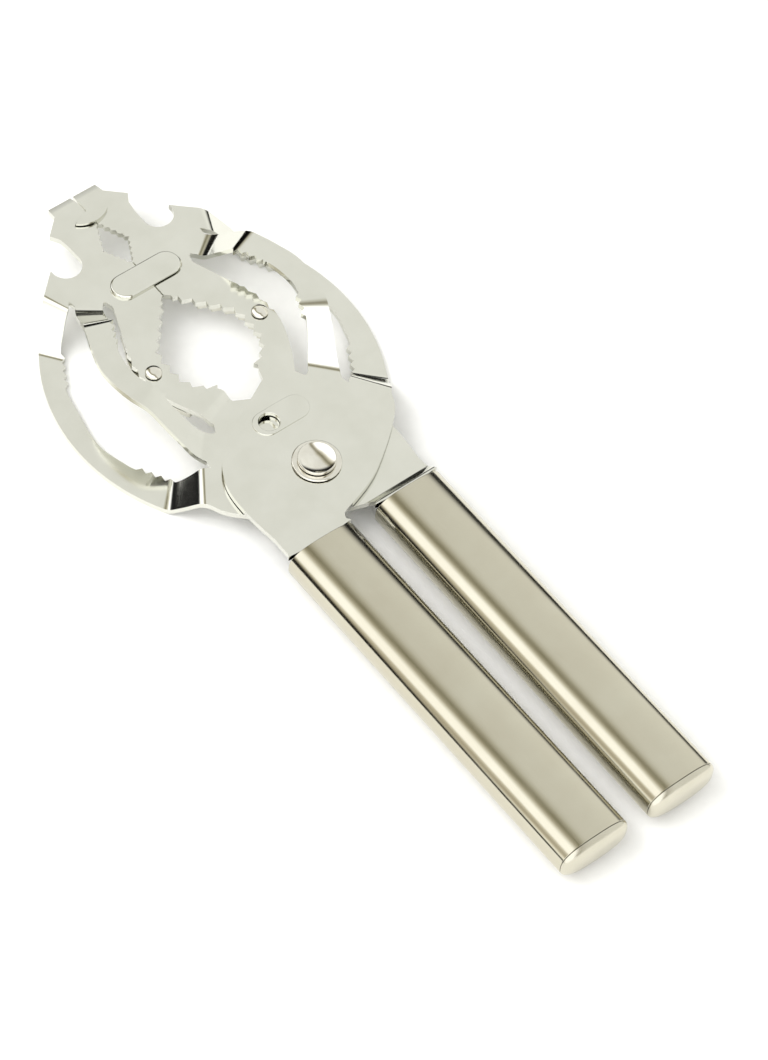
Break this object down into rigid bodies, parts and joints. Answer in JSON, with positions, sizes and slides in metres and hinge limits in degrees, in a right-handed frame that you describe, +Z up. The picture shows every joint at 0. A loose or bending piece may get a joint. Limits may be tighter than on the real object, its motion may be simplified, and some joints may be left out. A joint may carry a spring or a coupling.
{
  "type": "plier-type jar, bottle and crown cap opener",
  "caption": "Plier-type stainless opener: two crossing pressed levers with toothed rings at three levels, dished pivot rivet and oval brushed tube handles.",
  "frame": {"origin": "centre of the bounding box at its base, on the table, with the handles closed", "axes": "+Y towards the tip, +Z up from the table along the hinge axis, +X to the right seen from the handles"},
  "size_m": [0.076, 0.2058, 0.0175],
  "materials": {
    "polished_sheet": "tumble-polished pressed stainless sheet",
    "toothed_plate": "pressed stainless sheet with stamped teeth",
    "rivet_steel": "bright rolled rivet head",
    "washer_steel": "satin",
    "handle_steel": "satin, brushed along the tube",
    "cap_steel": "satin",
    "insert_plastic": "moulded, hidden inside the tube"
  },
  "bodies": {
    "upper_half": {"upper_lever": "polished_sheet", "right_jaw_plate": "toothed_plate", "right_jaw_rivet": "rivet_steel", "pivot_rivet": "rivet_steel", "pivot_washer_top": "washer_steel", "pivot_washer_bottom": "washer_steel", "left_handle_tube": "handle_steel", "left_handle_cap": "cap_steel", "left_tang_insert": "insert_plastic"},
    "lower_half": {"lower_lever": "polished_sheet", "left_jaw_plate": "toothed_plate", "left_jaw_rivet": "rivet_steel", "right_handle_tube": "handle_steel", "right_handle_cap": "cap_steel", "right_tang_insert": "insert_plastic"}
  },
  "joints": [
    {"name": "handle_hinge", "type": "hinge", "parent": "upper_half", "child": "lower_half", "pos_m": [0, 0.0105, 0.008], "axis": [0, 0, 1], "range_deg": [0, 18]}
  ]
}
